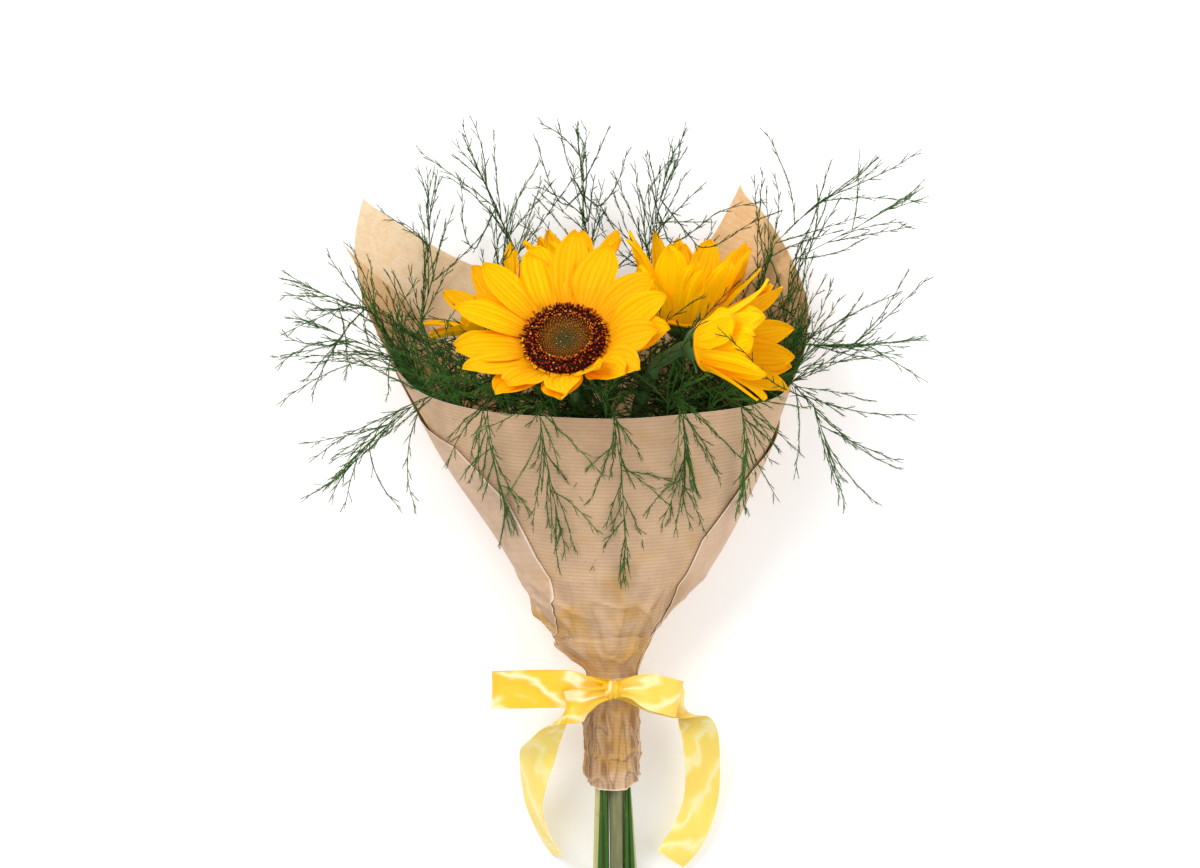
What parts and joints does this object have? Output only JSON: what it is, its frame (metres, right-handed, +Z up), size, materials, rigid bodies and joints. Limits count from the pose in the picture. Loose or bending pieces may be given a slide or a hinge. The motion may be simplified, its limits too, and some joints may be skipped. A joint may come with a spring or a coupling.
{
  "type": "bouquet",
  "caption": "Bunch of sunflowers with asparagus fern, wrapped in brown kraft paper and tied with a yellow satin ribbon.",
  "frame": {"origin": "centre of the flat spot under the wrap that the bunch rests on, on the surface it lies on", "axes": "+Z up from the surface, +Y along the bunch from the stem ends to the blooms, +X to the right seen from above with the blooms away from the viewer"},
  "size_m": [0.4301, 0.5698, 0.2154],
  "materials": {
    "kraft_paper": "ribbed, matte",
    "pale_paper": "ribbed, matte, pale inside",
    "satin_ribbon": "satin",
    "stem_green": "satin",
    "petal_yellow": "matte",
    "disc_brown": "matte",
    "fern_green": "satin"
  },
  "bodies": {
    "root": {"wrap_front": "kraft_paper", "wrap_back": "pale_paper", "ribbon": "satin_ribbon", "stem_main": "stem_green", "petals_main": "petal_yellow", "disc_main": "disc_brown", "stem_right_back": "stem_green", "petals_right_back": "petal_yellow", "disc_right_back": "disc_brown", "stem_right_front": "stem_green", "petals_right_front": "petal_yellow", "disc_right_front": "disc_brown", "stem_top_back": "stem_green", "petals_top_back": "petal_yellow", "disc_top_back": "disc_brown", "stem_left_back": "stem_green", "petals_left_back": "petal_yellow", "disc_left_back": "disc_brown", "fern_left_top": "fern_green", "fern_left_mid": "fern_green", "fern_left_low": "fern_green", "fern_right_top": "fern_green", "fern_right_mid": "fern_green", "fern_right_side": "fern_green", "fern_right_low": "fern_green", "fern_top_mid": "fern_green", "fern_top_left": "fern_green", "fern_top_right": "fern_green", "fern_far_left": "fern_green", "fern_front_left": "fern_green", "fern_front_left_mid": "fern_green", "fern_front_mid": "fern_green", "fern_front_right_mid": "fern_green", "fern_front_right": "fern_green"}
  },
  "joints": []
}
